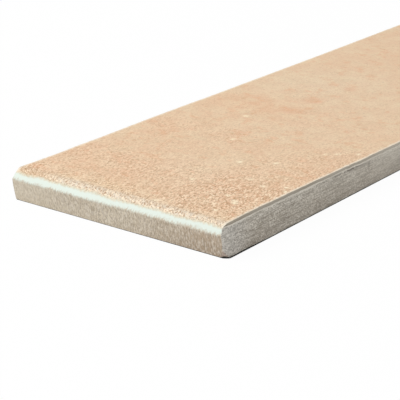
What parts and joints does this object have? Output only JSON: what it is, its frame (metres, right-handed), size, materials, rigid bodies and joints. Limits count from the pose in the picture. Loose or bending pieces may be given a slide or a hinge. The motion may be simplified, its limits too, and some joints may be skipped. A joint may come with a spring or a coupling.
{
  "type": "brick look porcelain tile",
  "caption": "Narrow rectangular porcelain tile with a printed matt glazed face, bevelled pressed ends, snapped long sides and a ribbed back for adhesive.",
  "frame": {"origin": "middle of the tile on the plane of its back, where it beds on adhesive", "axes": "+Z out of the glazed face, Y along the tile's length, X across its width"},
  "size_m": [0.06, 0.25, 0.008],
  "materials": {
    "tile": "matt"
  },
  "bodies": {
    "root": {"tile": "tile"}
  },
  "joints": []
}
